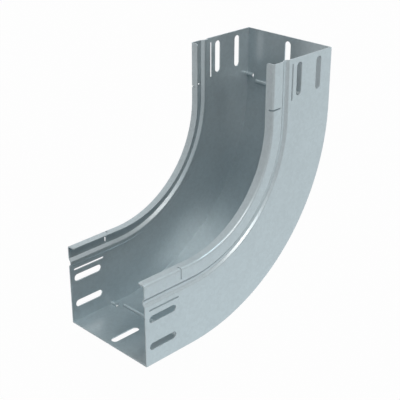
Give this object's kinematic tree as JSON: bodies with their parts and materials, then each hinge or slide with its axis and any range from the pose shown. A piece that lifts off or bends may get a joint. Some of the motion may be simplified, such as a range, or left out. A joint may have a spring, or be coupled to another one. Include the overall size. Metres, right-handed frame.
{
  "type": "cable tray riser",
  "caption": "U-section sheet steel cable tray fitting that turns the run upwards through 90 degrees in a smooth bend, with slotted ends and lipped, beaded side plates.",
  "frame": {"origin": "on the ground, at the middle of the square footprint of the riser as it lies on its left side plate", "axes": "+Z across the tray, from the left side plate to the right one. The low end opens towards -X with the tray's floor facing -Y there, and the high end opens towards +Y with the tray's floor facing +X"},
  "size_m": [0.235, 0.235, 0.102],
  "materials": {
    "galvanised_steel": "satin"
  },
  "bodies": {
    "root": {"side_plate_left": "galvanised_steel", "side_plate_right": "galvanised_steel", "floor_plate": "galvanised_steel"}
  },
  "joints": []
}
